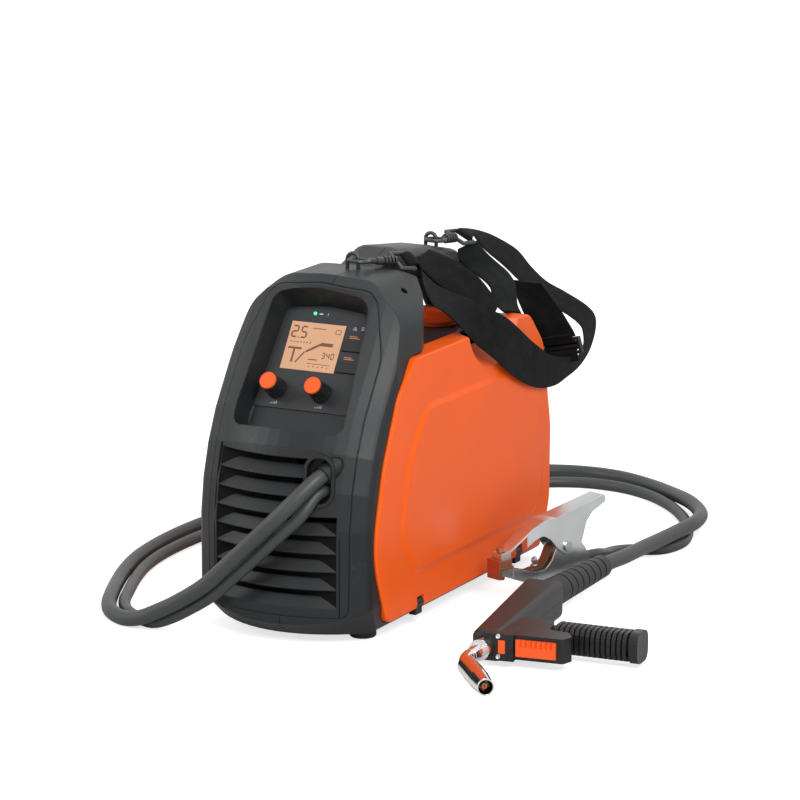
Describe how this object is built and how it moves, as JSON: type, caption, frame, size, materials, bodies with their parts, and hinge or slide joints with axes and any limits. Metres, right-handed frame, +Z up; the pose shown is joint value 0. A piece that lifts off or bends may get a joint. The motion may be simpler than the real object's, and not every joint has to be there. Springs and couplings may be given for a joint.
{
  "type": "mig welding machine",
  "caption": "Portable MIG welding machine with its wire feeder, welding gun, earth clamp and shoulder strap.",
  "frame": {"origin": "on the floor, in the middle of the four feet", "axes": "+X to the machine's right as seen facing its control panel, +Y from the control panel to the back, +Z up"},
  "size_m": [0.5841, 0.7809, 0.328],
  "materials": {
    "black_case": "moulded charcoal plastic with a fine grain",
    "orange_panel": "smooth orange panel, satin",
    "panel_grey": "smooth grey face plate",
    "display": "lit amber display behind a clear window",
    "green_light": "lit green lens",
    "black_plastic": "black plastic, satin",
    "orange_plastic": "orange plastic, satin",
    "board": "green circuit board",
    "zinc": "zinc-plated sheet steel",
    "steel": "machined steel",
    "dark_steel": "dark coated steel wire and zinc casting",
    "alloy": "aluminium extrusion and die casting",
    "copper": "bare copper",
    "brass": "turned brass",
    "varnish": "varnished laminations and windings",
    "wire": "copper-coated welding wire",
    "blue_sheath": "blue wire liner",
    "rubber": "black rubber",
    "cable_rubber": "dark grey rubber sheath",
    "webbing": "woven black webbing",
    "pad": "dark grey-green padded cloth",
    "chrome": "polished nickel-plated copper"
  },
  "bodies": {
    "case": {"left_frame": "black_case", "right_frame": "black_case", "front_bezel": "black_case", "control_panel": "panel_grey", "display_window": "display", "power_light": "green_light", "control_board": "board", "right_panel": "orange_panel", "hinge_pins": "steel", "feet": "rubber", "chassis": "zinc", "rear_panel": "black_plastic", "fan_housing": "black_plastic", "heat_sink": "alloy", "transformer": "varnish", "mains_gland": "black_plastic", "gas_nipple": "brass", "spool_hub": "black_plastic", "feeder_body": "alloy", "feed_motor": "steel", "wire_conduit": "blue_sheath", "cable_gland": "black_plastic", "case_screws": "steel", "strap_eyes": "dark_steel", "strap_hooks": "dark_steel", "strap_webbing": "webbing", "shoulder_pad": "pad", "strap_slider": "black_plastic", "gun_cable": "cable_rubber", "gun_boot": "rubber", "gun_upper_shell": "black_plastic", "gun_lower_shell": "black_plastic", "gun_grip": "black_plastic", "gun_neck": "chrome", "gun_nozzle": "chrome", "contact_tip": "copper", "earth_cable": "cable_rubber", "clamp_lower_arm": "zinc", "clamp_pivot": "steel", "clamp_lower_jaw": "copper", "clamp_spring": "steel"},
    "door": {"left_door": "orange_panel"},
    "latch": {"door_latch": "orange_plastic"},
    "left_dial": {"left_knob": "black_plastic", "left_knob_cap": "orange_plastic"},
    "right_dial": {"right_knob": "black_plastic", "right_knob_cap": "orange_plastic"},
    "upper_key": {"upper_button": "black_plastic"},
    "lower_key": {"lower_button": "black_plastic"},
    "rocker": {"power_switch": "black_plastic"},
    "fan": {"fan_rotor": "black_plastic"},
    "spool": {"wire_spool": "black_plastic", "wire_winding": "wire"},
    "drive": {"drive_roll": "steel"},
    "arm": {"pressure_arm": "black_plastic"},
    "idler": {"pressure_roll": "steel"},
    "tension": {"tension_knob": "orange_plastic"},
    "trigger": {"gun_trigger": "orange_plastic"},
    "jaw": {"clamp_upper_arm": "zinc", "clamp_upper_jaw": "copper"}
  },
  "joints": [
    {"name": "door_hinge", "type": "hinge", "parent": "case", "child": "door", "pos_m": [-0.0845, 0.017, 0.0215], "axis": [0, -1, 0], "range_deg": [0, 80]},
    {"name": "latch_turn", "type": "hinge", "parent": "case", "child": "latch", "pos_m": [0.028, 0.064, 0.25], "axis": [0, 0, 1], "range_deg": [0, 90]},
    {"name": "left_dial_turn", "type": "hinge", "parent": "case", "child": "left_dial", "pos_m": [-0.0283, -0.13387, 0.2146], "axis": [0, -0.8387, 0.5446], "range_deg": [-135, 135]},
    {"name": "right_dial_turn", "type": "hinge", "parent": "case", "child": "right_dial", "pos_m": [0.0165, -0.13387, 0.2146], "axis": [0, -0.8387, 0.5446], "range_deg": [-135, 135]},
    {"name": "upper_key_press", "type": "slide", "parent": "case", "child": "upper_key", "axis": [0, 0.8387, -0.5446], "range_m": [0, 0.0008], "stiffness_N_per_m": 600},
    {"name": "lower_key_press", "type": "slide", "parent": "case", "child": "lower_key", "axis": [0, 0.8387, -0.5446], "range_m": [0, 0.0008], "stiffness_N_per_m": 600},
    {"name": "rocker_tilt", "type": "hinge", "parent": "case", "child": "rocker", "pos_m": [-0.04, 0.179, 0.19], "axis": [1, 0, 0], "range_deg": [-18, 0]},
    {"name": "fan_spin", "type": "hinge", "parent": "case", "child": "fan", "pos_m": [0.033, 0.155, 0.092], "axis": [0, 1, 0], "continuous": true},
    {"name": "spool_spin", "type": "hinge", "parent": "case", "child": "spool", "pos_m": [-0.0365, 0.066, 0.128], "axis": [1, 0, 0], "continuous": true},
    {"name": "drive_spin", "type": "hinge", "parent": "case", "child": "drive", "pos_m": [-0.0365, -0.066, 0.1314], "axis": [1, 0, 0], "continuous": true},
    {"name": "arm_lift", "type": "hinge", "parent": "case", "child": "arm", "pos_m": [-0.0365, -0.092, 0.163], "axis": [1, 0, 0], "range_deg": [0, 40]},
    {"name": "idler_spin", "type": "hinge", "parent": "arm", "child": "idler", "pos_m": [-0.0365, -0.066, 0.1606], "axis": [1, 0, 0], "continuous": true},
    {"name": "tension_turn", "type": "hinge", "parent": "arm", "child": "tension", "pos_m": [-0.0365, -0.036, 0.18], "axis": [0, 0, 1], "range_deg": [-360, 360]},
    {"name": "trigger_pull", "type": "slide", "parent": "case", "child": "trigger", "axis": [-0.1513, 0.9885, 0], "range_m": [0, 0.004], "stiffness_N_per_m": 500},
    {"name": "jaw_open", "type": "hinge", "parent": "case", "child": "jaw", "pos_m": [0.14528, 0.08672, 0.043], "axis": [-0.9397, 0.342, 0], "range_deg": [0, 18], "stiffness_Nm_per_rad": 1.5, "springref_deg": -20.05}
  ],
  "couplings": [
    {"joint": "idler_spin", "follows": "drive_spin", "ratio": -1}
  ]
}
